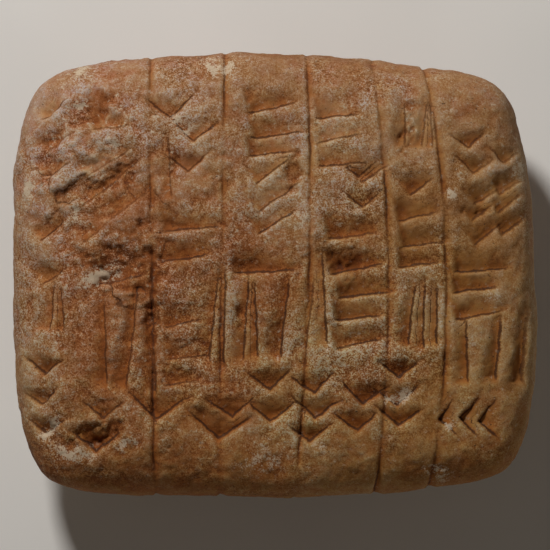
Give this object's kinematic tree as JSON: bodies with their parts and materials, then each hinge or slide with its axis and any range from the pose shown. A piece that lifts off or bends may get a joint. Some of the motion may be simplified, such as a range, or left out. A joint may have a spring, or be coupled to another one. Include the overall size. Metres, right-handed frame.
{
  "type": "cuneiform tablet",
  "caption": "Small pillow-shaped clay tablet with rounded corners, ruled into rows and covered with shallow stylus strokes on its upper face.",
  "frame": {"origin": "middle of the tablet's footprint, on the flat spot of the plain side that it rests on", "axes": "+X along the long side, across the ruled rows; +Y along the rows; +Z out of the written face"},
  "size_m": [0.0448, 0.0382, 0.0156],
  "materials": {
    "clay": "matt, rough and worn, with pale mineral crust and rust-coloured hollows"
  },
  "bodies": {
    "root": {"tablet": "clay"}
  },
  "joints": []
}
